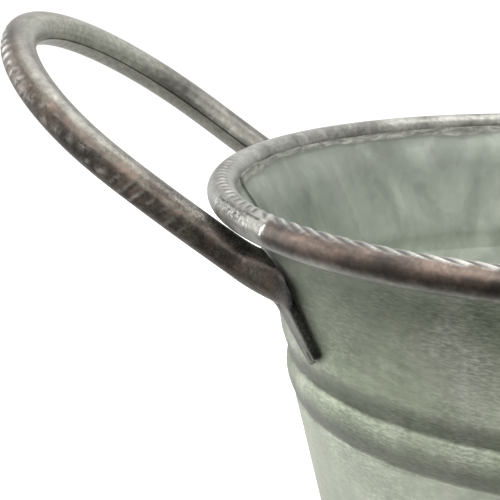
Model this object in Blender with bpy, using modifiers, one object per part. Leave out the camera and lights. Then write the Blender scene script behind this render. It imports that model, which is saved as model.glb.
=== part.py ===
"""Florist bucket: a tapered steel bucket with a wired rim, two pressed grooves and two loop handles.

Metres, +Z up. The origin is the centre of the foot, on the surface that the bucket stands on. The handles
reach out along -X (left) and +X (right).
"""

import math

import bmesh
import bpy
from mathutils import Vector

MM = 0.001

# Driving dimensions
HEIGHT = 180 * MM  # from the floor to the top of the rim
RIM_RADIUS = 100 * MM  # from the bucket's axis to the middle of the rolled rim
ROLL_RADIUS = 4.0 * MM  # of the rolled rim, outside
WIRE_RADIUS = 2.0 * MM  # of the steel wire inside the roll
SHEET = 0.7 * MM  # thickness of the sheet steel
GAP = 0.35 * MM  # between touching pieces
AROUND = 48  # flats round every turned piece
WIRE_FLATS = 6  # flats round the wire itself

RIM_HEIGHT = HEIGHT - ROLL_RADIUS  # height of the roll's middle

# The wall's outer face: how far below the roll's middle, and how far from the axis
WALL_EDGE = (1.9 * MM, 98.2 * MM)  # the upper edge, inside the roll
WALL_NECK = (4.4 * MM, 94.6 * MM)  # where the wall leaves the roll
FLARE_END = (12.0 * MM, 90.6 * MM)  # the flare under the rim ends here
UPPER_BEAD = (35.5 * MM, 83.5 * MM)  # start of the upper bead
GROOVE_A = (44.5 * MM, 81.7 * MM)  # the groove under the upper bead
GROOVE_B = (55.5 * MM, 79.9 * MM)  # the groove under the lower bead
SHOULDER = (60.0 * MM, 79.25 * MM)  # the straight lower wall starts here
LOWER_TAPER = 0.2325  # loss of radius per unit of depth below the shoulder
FLARE_SAG = -0.45 * MM  # hollow of the flare's arc
UPPER_BULGE = 0.75 * MM  # height of the upper bead's arc
LOWER_BULGE = 1.3 * MM  # height of the lower bead's arc
LAP_FLATS = 1  # width of the side seam's overlap, in flats
LAP_TURN = math.radians(172.5)  # where it starts, from +X
LAP_FOOT = 7 * MM  # the overlap is cut away this far, to let the bottom pan in
LAP_SHEET = 1.5 * SHEET  # thickness of the overlap's strip, which reaches into the wall

# The foot, where the bottom pan is clinched round the wall's lower edge
FOOT_LIP = 6.0 * MM  # height of the outer lip
PAN_HEIGHT = 5.3 * MM  # clearance under the pan
FOOT_CORNER = 0.5 * MM  # bevel of the fold

# The opening in the roll through which the wall enters, from straight inwards turning down
SLIT_FROM = math.radians(28)
SLIT_TO = math.radians(54)
ROLL_STEPS = 9

# Handles: a flat loop that leaves the wall and rises outwards
HANDLE_RISE = math.radians(35.1)  # slope of the loop's plane
HANDLE_START = (81.0 * MM, -17.6 * MM)  # a leg's middle: out from the axis, and above the roll's middle
HANDLE_REACH = 97.6 * MM  # from there to the tip, along the slope
HANDLE_BOW = 1.5 * MM  # how far the loop sags between its ends
LEG_SPREAD = 43.8 * MM  # from the middle plane to a leg, at the wall
TIP_SPREAD = 44.35 * MM  # from the middle plane to a leg, where the round end starts
TIP_LENGTH = 50.5 * MM  # of the round end, along the slope
TUBE_RADIUS = 4.95 * MM
TUBE_SHEET = 0.9 * MM
TUBE_SLIT = math.radians(3.5)  # half of the open seam along the inside of the loop
FLAT_HOLLOW = 0.25 * MM  # half of the hollow left inside a tube that is squeezed flat

# Each leg ends in a tab, flattened and turned down along the wall.
# Turns are measured from straight ahead (-Y) towards the left handle (-X).
TAB_END = (math.radians(48.8), 34.8 * MM)  # turn, and depth below the roll's middle
TAB_TOP = (math.radians(55.4), 21.6 * MM)
TAB_THICKNESS = 2.3 * MM
TAB_END_WIDTH = 5.0 * MM
TAB_TOP_WIDTH = 11.0 * MM

# The fold above the tab, where the tube comes to the wall: turn, depth of its upper side, and half width
FOLD = (
    (math.radians(55.4), 16.6 * MM, 7.6 * MM),
    (math.radians(56.8), 13.4 * MM, 7.9 * MM),
    (math.radians(58.6), 11.4 * MM, 7.3 * MM),
)
FOLD_DEPTH = 22.8 * MM  # depth of its lower, outer corner
LEG_FROM = 7.0 * MM  # the tube is round from here on, along the slope

STEPS_TAB = 2
STEPS_NECK = 3
STEPS_LEG = 5
STEPS_TIP = 18
SECTION_POINTS = 10


def clear_scene():
    for obj in list(bpy.data.objects):
        bpy.data.objects.remove(obj, do_unlink=True)


def new_collection(name):
    collection = bpy.data.collections.new(name)
    bpy.context.scene.collection.children.link(collection)
    return collection


def metal(name, colour, roughness, metallic):
    """A Principled material of one colour."""
    material = bpy.data.materials.new(name)
    material.use_nodes = True
    shader = material.node_tree.nodes["Principled BSDF"]
    shader.inputs["Base Color"].default_value = (*colour, 1)
    shader.inputs["Roughness"].default_value = roughness
    shader.inputs["Metallic"].default_value = metallic
    material.diffuse_color = (*colour, 1)
    return material


def add_object(name, mesh, collection, material):
    obj = bpy.data.objects.new(name, mesh)
    collection.objects.link(obj)
    mesh.materials.append(material)
    return obj


def smooth(mesh, angle=35):
    mesh.shade_smooth()
    mesh.set_sharp_from_angle(angle=math.radians(angle))


# Turned pieces


def arc_between(start, end, bulge, steps):
    """Points of the arc from start to end that stands out by bulge from the chord, without its start."""
    chord = Vector(end) - Vector(start)
    across = Vector((-chord.y, chord.x)).normalized()
    if across.y < 0:
        across.negate()
    points = []
    for step in range(1, steps + 1):
        t = step / steps
        lift = 4 * bulge * t * (1 - t)
        points.append(tuple(Vector(start) + chord * t + across * lift))
    return points


def wall_line():
    """The wall's outer face, downwards, as depth below the roll's middle and radius."""
    foot_depth = RIM_HEIGHT - SHEET - GAP
    foot_radius = SHOULDER[1] - LOWER_TAPER * (foot_depth - SHOULDER[0])
    line = [WALL_EDGE, WALL_NECK]
    line += arc_between(WALL_NECK, FLARE_END, FLARE_SAG, 3)
    line.append(UPPER_BEAD)
    line += arc_between(UPPER_BEAD, GROOVE_A, UPPER_BULGE, 3)
    line += arc_between(GROOVE_A, GROOVE_B, LOWER_BULGE, 4)
    line.append(SHOULDER)
    line.append((foot_depth, foot_radius))
    return line


def wall_radius(depth):
    """Radius of the wall's outer face at a depth below the roll's middle."""
    line = wall_line()
    for (d0, r0), (d1, r1) in zip(line, line[1:]):
        if d0 <= depth <= d1:
            return r0 + (r1 - r0) * (depth - d0) / (d1 - d0)
    return line[-1][1]


def turned(name, points, collection, material, thickness=0.0, degrees=360, steps=AROUND):
    """Spins (radius, height) points, listed down the outer side, and gives the sheet its thickness."""
    mesh = bpy.data.meshes.new(name)
    vertices = [(radius, 0, height) for radius, height in points]
    edges = [(i, i + 1) for i in range(len(vertices) - 1)]
    mesh.from_pydata(vertices, edges, [])
    obj = add_object(name, mesh, collection, material)
    screw = obj.modifiers.new("Spin", "SCREW")
    screw.angle = math.radians(degrees)
    screw.steps = steps
    screw.render_steps = steps
    screw.use_merge_vertices = degrees == 360
    screw.merge_threshold = 0.00001
    screw.use_smooth_shade = True
    if thickness:
        sheet = obj.modifiers.new("Sheet", "SOLIDIFY")
        sheet.thickness = thickness
        sheet.offset = -1
        sheet.use_even_offset = True
    return obj


def make_wall(parts, cutters, material):
    line = [(radius, RIM_HEIGHT - depth) for depth, radius in wall_line()]
    wall = turned("wall", line, parts, material, thickness=SHEET)
    # The sheet's end laps over its start on the inside, under the left handle
    below_roll = [(radius, height) for radius, height in line if height < RIM_HEIGHT - WALL_NECK[0]]
    lap_line = [(radius - SHEET / 2, height) for radius, height in below_roll]
    lap_line[-1] = (lap_line[-1][0] + LOWER_TAPER * LAP_FOOT, lap_line[-1][1] + LAP_FOOT)
    lap_degrees = 360 / AROUND * LAP_FLATS
    lap = turned("side_lap", lap_line, cutters, material, LAP_SHEET, lap_degrees, LAP_FLATS)
    lap.rotation_euler.z = LAP_TURN
    lap.hide_render = True
    lap.display_type = "WIRE"
    join = wall.modifiers.new("Lap seam", "BOOLEAN")
    join.operation = "UNION"
    join.object = lap
    return wall


def make_rim_band(parts, material):
    """The roll: from its inner lip up and over to the outer lip, open where the wall enters."""
    points = []
    sweep = 2 * math.pi - (SLIT_TO - SLIT_FROM)
    for step in range(ROLL_STEPS + 1):
        turn = SLIT_FROM - sweep * step / ROLL_STEPS
        radius = RIM_RADIUS - ROLL_RADIUS * math.cos(turn)
        points.append((radius, RIM_HEIGHT - ROLL_RADIUS * math.sin(turn)))
    return turned("rim_band", points, parts, material, thickness=SHEET)


def make_rim_wire(parts, material):
    bpy.ops.mesh.primitive_torus_add(
        major_segments=AROUND,
        minor_segments=WIRE_FLATS,
        major_radius=RIM_RADIUS,
        minor_radius=WIRE_RADIUS,
        location=(0, 0, RIM_HEIGHT),
    )
    wire = bpy.context.object
    wire.name = "rim_wire"
    wire.data.name = "rim_wire"
    wire.data.materials.append(material)
    smooth(wire.data, 60)
    for collection in list(wire.users_collection):
        collection.objects.unlink(wire)
    parts.objects.link(wire)
    return wire


def make_base_pan(parts, material):
    """The pan: its skirt inside the wall, the fold that it stands on, and the lip outside the wall."""
    foot_radius = wall_line()[-1][1]
    skirt = foot_radius - SHEET - GAP - SHEET
    lip = foot_radius + GAP + SHEET
    lean = LOWER_TAPER * FOOT_LIP
    points = [
        (0, PAN_HEIGHT),
        (skirt - 2 * FOOT_CORNER, PAN_HEIGHT),
        (skirt, PAN_HEIGHT - 2 * FOOT_CORNER),
        (skirt, FOOT_CORNER),
        (skirt + FOOT_CORNER, 0),
        (lip - FOOT_CORNER, 0),
        (lip, FOOT_CORNER),
        (lip + lean, FOOT_LIP),
    ]
    return turned("base_pan", points[::-1], parts, material, thickness=SHEET)


# Handles


def wall_point(turn, depth, lift):
    """A point that stands lift off the wall; turn is measured from -Y towards -X."""
    radius = wall_radius(depth)
    slope = (wall_radius(depth - MM) - wall_radius(depth + MM)) / (2 * MM)
    out = Vector((-math.sin(turn), -math.cos(turn), 0))
    normal = (out - Vector((0, 0, slope))).normalized()
    return out * radius + Vector((0, 0, RIM_HEIGHT - depth)) + normal * lift, normal


def loop_point(along, across):
    """A point in the loop's plane: along the slope from the start, and across from the middle plane."""
    bow = -4 * HANDLE_BOW * (along / HANDLE_REACH) * (1 - along / HANDLE_REACH)
    x = -HANDLE_START[0] - along * math.cos(HANDLE_RISE)
    z = RIM_HEIGHT + HANDLE_START[1] + along * math.sin(HANDLE_RISE) + bow
    return Vector((x, across, z))


def leg_across(along):
    """The legs draw together a little towards the wall."""
    t = along / (HANDLE_REACH - TIP_LENGTH)
    return LEG_SPREAD + (TIP_SPREAD - LEG_SPREAD) * (2 * t - t * t)


def ease(a, b, t):
    return a + (b - a) * t * t * (3 - 2 * t)


def wall_side(turn):
    """The level direction along the wall, towards the other leg."""
    return Vector((-math.cos(turn), math.sin(turn), 0))


def tab_stations():
    """From the tab's end to its top, flat on the wall."""
    lift = GAP + SHEET / 4 + TAB_THICKNESS / 2
    ends = [wall_point(*place, lift)[0] for place in (TAB_END, TAB_TOP)]
    direction = (ends[1] - ends[0]).normalized()
    stations = []
    for step in range(STEPS_TAB + 1):
        t = step / STEPS_TAB
        turn = TAB_END[0] + (TAB_TOP[0] - TAB_END[0]) * t
        depth = TAB_END[1] + (TAB_TOP[1] - TAB_END[1]) * t
        middle, normal = wall_point(turn, depth, lift)
        width = TAB_END_WIDTH + (TAB_TOP_WIDTH - TAB_END_WIDTH) * t
        stations.append((middle, normal.cross(direction), -normal, width / 2, TAB_THICKNESS / 2))
    return stations


def fold_stations():
    """The tube's lower corner stays put while its upper side climbs the wall."""
    stations = []
    for turn, depth, half_width in FOLD:
        lower = wall_point(turn, FOLD_DEPTH, GAP + SHEET / 2 + TAB_THICKNESS)[0]
        upper = wall_point(turn, depth, GAP + SHEET / 2)[0]
        middle = (lower + upper) / 2
        height = upper - lower
        stations.append((middle, wall_side(turn), height.normalized(), half_width, height.length / 2))
    return stations


def handle_stations():
    """Half of the handle, from the tab's end to the tip: middle, side, up, half width, half thickness."""
    stations = tab_stations() + fold_stations()
    up = Vector((math.sin(HANDLE_RISE), 0, math.cos(HANDLE_RISE)))
    side = Vector((0, 1, 0))
    round_tube = (TUBE_RADIUS, TUBE_RADIUS)
    folded = stations[-1]
    neck = (loop_point(LEG_FROM, -leg_across(LEG_FROM)), side, up, *round_tube)
    for step in range(1, STEPS_NECK + 1):
        t = step / STEPS_NECK
        middle = folded[0].lerp(neck[0], t)
        stations.append((middle, *(ease(a, b, t) for a, b in zip(folded[1:], neck[1:]))))
    straight = HANDLE_REACH - TIP_LENGTH
    forward = (loop_point(1, 0) - loop_point(0, 0)).normalized()
    for step in range(1, STEPS_LEG + 1):
        along = LEG_FROM + (straight - LEG_FROM) * step / STEPS_LEG
        stations.append((loop_point(along, -leg_across(along)), side, up, *round_tube))
    for step in range(1, STEPS_TIP // 2 + 1):
        turn = math.pi * step / STEPS_TIP
        middle = loop_point(straight + TIP_LENGTH * math.sin(turn), -TIP_SPREAD * math.cos(turn))
        outward = forward * math.sin(turn) * TIP_SPREAD + side * -math.cos(turn) * TIP_LENGTH
        stations.append((middle, -outward.normalized(), up, *round_tube))
    return stations


def mirrored(station):
    flip = Vector((1, -1, 1))
    middle, side, up, *sizes = station
    return middle * flip, side * flip, up * flip, *sizes


def section(middle, side, up, half_width, half_thickness):
    """A split tube's outline, open towards the inside of the loop: its outer skin, then its inner."""
    up = up.normalized()
    side = (side - up * side.dot(up)).normalized()
    flatness = 1 - min(half_width, half_thickness) / max(half_width, half_thickness)
    power = 1 / (1 + flatness)
    points = []
    for inset in (0, TUBE_SHEET):
        skin = []
        inner_width = half_width - inset
        inner_thickness = max(half_thickness - inset, FLAT_HOLLOW)
        for i in range(SECTION_POINTS):
            turn = TUBE_SLIT + (2 * math.pi - 2 * TUBE_SLIT) * i / (SECTION_POINTS - 1)
            c = math.cos(turn)
            s = math.sin(turn)
            across = math.copysign(abs(c) ** power, c) * inner_width
            above = math.copysign(abs(s) ** power, s) * inner_thickness
            skin.append(middle + side * across + up * above)
        points += skin if inset == 0 else skin[::-1]
    return points


def loft(name, sections, collection, material):
    """One closed skin over sections that all have the same number of points."""
    bm = bmesh.new()
    rings = [[bm.verts.new(point) for point in points] for points in sections]
    count = len(rings[0])
    for ring, following in zip(rings, rings[1:]):
        for i in range(count):
            j = (i + 1) % count
            bm.faces.new((ring[i], ring[j], following[j], following[i]))
    for ring in (rings[0], rings[-1]):
        for i in range(count // 2 - 1):
            bm.faces.new((ring[i], ring[i + 1], ring[count - 2 - i], ring[count - 1 - i]))
    bmesh.ops.recalc_face_normals(bm, faces=bm.faces)
    mesh = bpy.data.meshes.new(name)
    bm.to_mesh(mesh)
    bm.free()
    smooth(mesh)
    return add_object(name, mesh, collection, material)


def make_handle(name, parts, material):
    half = handle_stations()
    stations = half + [mirrored(station) for station in half[-2::-1]]
    return loft(name, [section(*station) for station in stations], parts, material)


def main():
    clear_scene()
    parts = new_collection("florist_bucket")
    cutters = new_collection("joined_shapes")
    zinc = metal("galvanised_sheet", (0.29, 0.33, 0.29), 0.42, 0.9)
    patina = metal("brown_patina", (0.12, 0.095, 0.08), 0.4, 0.8)
    steel = metal("bare_steel_wire", (0.35, 0.35, 0.35), 0.4, 1.0)
    pan_zinc = metal("galvanised_pan", (0.26, 0.29, 0.27), 0.45, 0.9)
    make_wall(parts, cutters, zinc)
    make_rim_band(parts, patina)
    make_rim_wire(parts, steel)
    make_base_pan(parts, pan_zinc)
    make_handle("handle_left", parts, patina)
    right = make_handle("handle_right", parts, patina)
    right.rotation_euler.z = math.pi


main()
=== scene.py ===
# %% [markdown]
# # A galvanised florist bucket
#
# This lesson builds the look of a small zinc flower bucket: a tapered sheet-metal wall with two pressed
# ribs, a rim rolled round a wire, and two loop handles bent from split tube. The solid model of the same
# bucket is loaded first and gives every place and size, so the pieces made here fit it to a fraction of a
# millimetre.

import math

import bpy
import numpy as np
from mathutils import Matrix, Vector


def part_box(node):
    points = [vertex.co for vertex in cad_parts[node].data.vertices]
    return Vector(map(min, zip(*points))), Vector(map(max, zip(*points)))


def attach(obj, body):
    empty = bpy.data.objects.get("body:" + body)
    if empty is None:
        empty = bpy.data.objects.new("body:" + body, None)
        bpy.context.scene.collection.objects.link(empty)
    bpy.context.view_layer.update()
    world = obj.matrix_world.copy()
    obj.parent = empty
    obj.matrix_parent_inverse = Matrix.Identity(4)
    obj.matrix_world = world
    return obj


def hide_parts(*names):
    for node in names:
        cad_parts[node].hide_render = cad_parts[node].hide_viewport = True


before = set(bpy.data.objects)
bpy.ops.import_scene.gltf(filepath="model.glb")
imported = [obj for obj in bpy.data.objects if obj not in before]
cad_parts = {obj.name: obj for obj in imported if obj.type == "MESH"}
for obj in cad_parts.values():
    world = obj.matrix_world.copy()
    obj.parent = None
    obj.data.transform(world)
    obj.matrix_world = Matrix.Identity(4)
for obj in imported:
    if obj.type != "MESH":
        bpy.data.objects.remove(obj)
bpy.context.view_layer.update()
MM = 0.001
print("nodes:", sorted(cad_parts))

# %% [markdown]
# ## The hand tools
#
# Every piece is made the way one would at the screen: add a primitive, go into edit mode, extrude and
# scale, then apply modifiers. An operator works on all that is selected, so everything is deselected
# first.


# %% Selecting, and finishing a piece
def deselect():
    if bpy.context.object and bpy.context.object.mode != "OBJECT":
        bpy.ops.object.mode_set(mode="OBJECT")
    bpy.ops.object.select_all(action="DESELECT")


def take(piece):
    """Selects one piece alone, ready for an operator."""
    deselect()
    piece.select_set(True)
    bpy.context.view_layer.objects.active = piece


def edit(piece, mode="VERT"):
    """Goes into edit mode on one piece, choosing by corner, edge or face."""
    take(piece)
    bpy.context.tool_settings.mesh_select_mode = (mode == "VERT", mode == "EDGE", mode == "FACE")
    bpy.ops.object.mode_set(mode="EDIT")


def choose_faces(piece, wanted):
    """Selects the faces marked in a list of booleans and goes into edit mode."""
    edit(piece, "FACE")
    bpy.ops.mesh.select_all(action="DESELECT")
    bpy.ops.object.mode_set(mode="OBJECT")
    piece.data.polygons.foreach_set("select", wanted)
    edit(piece, "FACE")


def apply_modifier(piece, kind, **settings):
    take(piece)
    modifier = piece.modifiers.new(kind.title(), kind)
    for key, value in settings.items():
        setattr(modifier, key, value)
    bpy.ops.object.modifier_apply(modifier=modifier.name)


def settle(piece, name, angle=40):
    """Puts a finished piece's place into its mesh, shades it smooth and names it."""
    take(piece)
    bpy.ops.object.transform_apply(location=True, rotation=True, scale=True)
    bpy.ops.object.shade_smooth_by_angle(angle=math.radians(angle))
    piece.name = name
    piece.data.name = name
    print(name, len(piece.data.polygons), "faces")
    return piece


# %% [markdown]
# Small dents, ridges and creases are pressed into a piece with a Displace modifier that is driven by a
# vertex group. The group holds how strongly each point is pushed, worked out from the point's place by a
# rule.


# %% Pressing a shape into a surface
def corner_places(piece):
    values = np.empty(len(piece.data.vertices) * 3)
    piece.data.vertices.foreach_get("co", values)
    return values.reshape(-1, 3)


def mark(piece, name, rule):
    """Stores rule(points), a value from 0 to 1 for each point, for the finish to read by this name."""
    values = np.clip(rule(corner_places(piece)), 0, 1)
    piece.data.attributes.new(name, "FLOAT", "POINT").data.foreach_set("value", values)


PRESS_LEVELS = 60  # steps of strength from none to full


def press(piece, rule, depth):
    """Pushes each point outwards by depth times rule(points), which runs from 0 to 1."""
    weights = np.clip(rule(corner_places(piece)), 0, 1)
    group = piece.vertex_groups.new(name="Pressed")
    levels = np.round(weights * PRESS_LEVELS).astype(int)
    for level in np.unique(levels):
        if level > 0:
            group.add(np.flatnonzero(levels == level).tolist(), level / PRESS_LEVELS, "REPLACE")
    apply_modifier(piece, "DISPLACE", vertex_group=group.name, mid_level=0.0, strength=depth)
    piece.vertex_groups.remove(piece.vertex_groups[0])


def rise(value, low, high):
    """Grows smoothly from 0 at low to 1 at high."""
    t = np.clip((value - low) / (high - low), 0, 1)
    return t * t * (3 - 2 * t)


def hump(value, middle, width):
    """1 at the middle, falling smoothly to 0 at width on either side."""
    return 1 - rise(np.abs(value - middle), 0, width)


# %% [markdown]
# ## The bucket's line
#
# All of the bucket follows one outline: the sheet leaves the rim in a short flare, runs down straight,
# swells into two pressed ribs with a sharp groove under each, and then tapers to the foot. Depths are
# measured down from the middle of the rolled rim. On the inside the sheet runs smoothly up into the roll.

# %% The outline, as depth and radius in millimetres
rim_low, rim_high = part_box("rim_band")
wall_low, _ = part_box("wall")
ROLL = (rim_high.z - rim_low.z) / 2  # radius of the rolled rim
RIM_HEIGHT = rim_high.z - ROLL
RIM_RADIUS = rim_high.y - ROLL
FOOT_DEPTH = (RIM_HEIGHT - wall_low.z) / MM
TAPER = 0.2325


def arc(start, end, bulge, steps):
    """Points on a shallow arc between two outline points, without its first."""
    points = []
    for step in range(1, steps + 1):
        t = step / steps
        depth = start[0] + (end[0] - start[0]) * t
        radius = start[1] + (end[1] - start[1]) * t + 4 * bulge * t * (1 - t)
        points.append((depth, radius))
    return points


outline = [(-1.8, 97.6), (-1.3, 97.0), (-0.4, 96.65), (1.2, 96.3), (2.8, 95.6), (4.4, 94.6)]
outline += arc(outline[-1], (12.0, 90.55), -0.45, 6)
outline += arc(outline[-1], (32.0, 84.4), -0.15, 9)
outline += arc(outline[-1], (37.6, 83.75), 0.12, 5)
outline += arc(outline[-1], (39.0, 83.35), 0.08, 3)
outline += arc(outline[-1], (44.6, 81.35), 0.12, 6)
outline += arc(outline[-1], (45.6, 81.75), -0.1, 3)
outline += arc(outline[-1], (50.5, 82.05), 0.35, 8)
outline += arc(outline[-1], (55.6, 79.9), 0.3, 8)
outline += arc(outline[-1], (56.6, 79.95), -0.12, 3)
outline += arc(outline[-1], (60.0, 79.25), 0.1, 4)
outline += arc(outline[-1], (FOOT_DEPTH, 79.25 - TAPER * (FOOT_DEPTH - 60.0)), 0.0, 24)
print("outline points:", len(outline), " foot radius mm:", round(outline[-1][1], 2))

# %% [markdown]
# ## The wall
#
# The wall is one steel sheet, 0.7 mm thick, bent into a cone, with its ribs pressed in by rollers. It
# could be a drawn profile with a Screw modifier. Here a ring is pulled up along the outline instead, as
# one would by hand: each step extrudes the open edge and scales it to the next radius. Solidify then gives
# the sheet its thickness, inwards from the outline.


# %% Extruding a ring along an outline
def pull_ring(line, around, closed=False):
    """A surface of revolution from (radius, height) pairs: a circle, extruded and scaled step by step."""
    deselect()
    radius, height = line[0]
    bpy.ops.mesh.primitive_circle_add(vertices=around, radius=radius, location=(0, 0, height))
    piece = bpy.context.object
    edit(piece)
    bpy.ops.mesh.select_all(action="SELECT")
    for next_radius, next_height in line[1:]:
        move = {"value": (0, 0, next_height - height)}
        bpy.ops.mesh.extrude_region_move(TRANSFORM_OT_translate=move)
        scale = next_radius / radius
        bpy.ops.transform.resize(value=(scale, scale, 1), center_override=(0, 0, next_height))
        radius, height = next_radius, next_height
    if closed:
        bpy.ops.mesh.merge(type="CENTER")
    bpy.ops.mesh.select_all(action="SELECT")
    bpy.ops.mesh.normals_make_consistent(inside=False)
    bpy.ops.object.mode_set(mode="OBJECT")
    first = piece.data.polygons[0]
    if first.normal.xy.dot(first.center.xy) < 0:
        edit(piece)
        bpy.ops.mesh.select_all(action="SELECT")
        bpy.ops.mesh.flip_normals()
        bpy.ops.object.mode_set(mode="OBJECT")
    return piece


SHEET = 0.7 * MM
wall_line = [(radius * MM, RIM_HEIGHT - depth * MM) for depth, radius in reversed(outline)]
wall = pull_ring(wall_line, 256)

# %% [markdown]
# The two ends of the sheet lap over each other under the left handle. On the inside the upper end shows
# as a thin straight edge from rim to foot. It is a strip copied from the wall and moved in by one
# thickness, so it follows every rib. Angles round the bucket are turns from straight ahead (-Y) towards
# the left handle (-X).


# %% The lapped end of the sheet
def turns(points):
    """Each point's turn round the bucket in degrees: 0 straight ahead, 90 at the left handle."""
    return np.degrees(np.arctan2(-points[:, 0], -points[:, 1]))


def centres(piece):
    values = np.empty(len(piece.data.polygons) * 3)
    piece.data.polygons.foreach_get("center", values)
    return values.reshape(-1, 3)


LAP_EDGE = 95.6  # turn of the upper end's edge
LAP_WIDTH = 12.0  # degrees that the ends overlap
take(wall)
bpy.ops.object.duplicate()
lap = bpy.context.object
middles = centres(lap)
outside_lap = np.abs(turns(middles) - LAP_EDGE + LAP_WIDTH / 2) > LAP_WIDTH / 2
outside_lap |= middles[:, 2] > RIM_HEIGHT - 1 * MM
outside_lap |= middles[:, 2] < wall_low.z + 8 * MM  # clear of the pan
choose_faces(lap, outside_lap)
bpy.ops.mesh.delete(type="FACE")
bpy.ops.object.mode_set(mode="OBJECT")
apply_modifier(lap, "DISPLACE", mid_level=0.0, strength=-SHEET - 0.02 * MM)
apply_modifier(lap, "SOLIDIFY", thickness=0.6 * MM, offset=-1.0)
for _ in ("outside", "inside"):
    wall.data.materials.append(None)  # a place for each side's finish
apply_modifier(wall, "SOLIDIFY", thickness=SHEET, offset=-1.0, material_offset=1, material_offset_rim=1)
settle(wall, "bucket_wall", 25)
settle(lap, "lapped_seam", 30)

# %% [markdown]
# ## The rolled rim
#
# The rim is sheet rolled round a wire, which gives a smooth ring. The rolling tool left a row of slanting
# ridges on it, on top of the roll: straight across and 3.9 mm apart at the left handle, long and slanting
# and 5.5 mm apart at the front. A bump texture could draw them, but only real ridges catch the light from
# the side. A round curve with a bevel gives the ring, with well over a thousand steps round it and 64
# round the roll, enough to carry them in its shape.

# %% A ring for the roll
deselect()
bpy.ops.curve.primitive_bezier_circle_add(radius=RIM_RADIUS, location=(0, 0, RIM_HEIGHT))
rim = bpy.context.object
rim.data.resolution_u = 360
rim.data.bevel_depth = ROLL
rim.data.bevel_resolution = 30
bpy.ops.object.convert(target="MESH")
rim = bpy.context.object
edit(rim)
bpy.ops.mesh.select_all(action="SELECT")
bpy.ops.mesh.remove_doubles(threshold=0.00001)
bpy.ops.object.mode_set(mode="OBJECT")
bpy.ops.object.transform_apply(location=True, rotation=True, scale=True)

# %% Ridges, worn flat in places
RIDGE_PITCH = 3.9 * MM
FRONT_PITCH = 5.5 * MM
FRONT_ARC = math.radians(50) * RIM_RADIUS  # how far round from straight ahead the wider pitch reaches
RIDGE_TILT = 91  # the ridges' middle, round the roll


def roll_place(points):
    """Turn round the bucket, and the angle round the roll: 0 outwards, 90 on top, 180 towards the axis."""
    out = np.hypot(points[:, 0], points[:, 1]) - RIM_RADIUS
    return turns(points), np.degrees(np.arctan2(points[:, 2] - RIM_HEIGHT, out))


def ridge_wave(points):
    """1 on a ridge and 0 between two, slanting at the front and straight across at the left."""
    turn, tilt = roll_place(points)
    slant = -0.9 + 0.9 * rise(turn, 36, 64)
    past = np.radians(turn) * RIM_RADIUS - FRONT_ARC
    phase = np.maximum(past, 0) / RIDGE_PITCH + np.minimum(past, 0) / FRONT_PITCH
    phase += slant * (tilt - RIDGE_TILT) / 30
    return 0.5 + 0.5 * np.cos(2 * np.pi * phase)


def ridge_band(points):
    """Where the ridges are: a narrow band on top, which wore away at the back."""
    turn, tilt = roll_place(points)
    width = 44 - 12 * rise(turn, 40, 62)
    return hump(tilt, RIDGE_TILT, width) ** 0.6 * (1 - rise(np.abs(turn + 10), 92, 108))


def ridges(points):
    return ridge_wave(points) ** 1.3 * ridge_band(points)


def grooves(points):
    return (1 - ridge_wave(points)) ** 2.2 * ridge_band(points)


mark(rim, "Ridges", ridges)
mark(rim, "Grooves", grooves)
press(rim, ridges, 0.22 * MM)
press(rim, grooves, -0.25 * MM)

# %% [markdown]
# Where the rolled strip begins, its edge stands up a little and is chipped to bright metal. Beside it two
# scratches run along the roll.


# %% The strip's edge on the rim
STRIP_TURN = 45.6  # degrees from straight ahead towards the left handle


def strip_line(tilt):
    """The turn at which the strip's edge crosses the roll: a flat S."""
    return STRIP_TURN - 0.3 * np.sin(np.radians(tilt - 22) * 2.2)


def strip_edge(points):
    turn, tilt = roll_place(points)
    past = turn - strip_line(tilt)
    return rise(past, -0.12, 0.12) * (1 - rise(past, 0.3, 9)) * hump(tilt, 25, 60)


def chip(points):
    turn, tilt = roll_place(points)
    past = turn - strip_line(tilt)
    return rise(hump(past, 0.05, 0.32), 0.3, 0.6) * rise(hump(tilt, 22, 30), 0.15, 0.45)


def bare_patches(points):
    turn, tilt = roll_place(points)
    past = turn - STRIP_TURN
    return hump(tilt, 30, 30) ** 0.5 * rise(past, 2, 5) * (1 - rise(past, 17, 25))


def scratch_lines(points):
    turn, tilt = roll_place(points)
    past = turn - STRIP_TURN
    wander = 1.5 * np.sin(turn * 0.9) - 0.3 * past
    lines = hump(tilt, 54 + wander, 10) + 0.8 * hump(tilt, 38 + wander, 8) * rise(past, 5, 7)
    return lines * rise(past, 1, 2.5) * (1 - rise(past, 14, 21))


mark(rim, "Chip", chip)
mark(rim, "Bare patches", bare_patches)
mark(rim, "Scratches", scratch_lines)
press(rim, strip_edge, 0.15 * MM)
press(rim, scratch_lines, -0.25 * MM)
settle(rim, "rolled_rim", 60)

# %% [markdown]
# ## The bottom pan
#
# The bottom is a shallow pan, set up inside the wall. Its edge is folded down and round the wall's lower
# edge, and the bucket stands on that fold. It is round like the wall, so the same tool pulls it from the
# fold to the middle, where a merge closes the floor.

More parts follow.
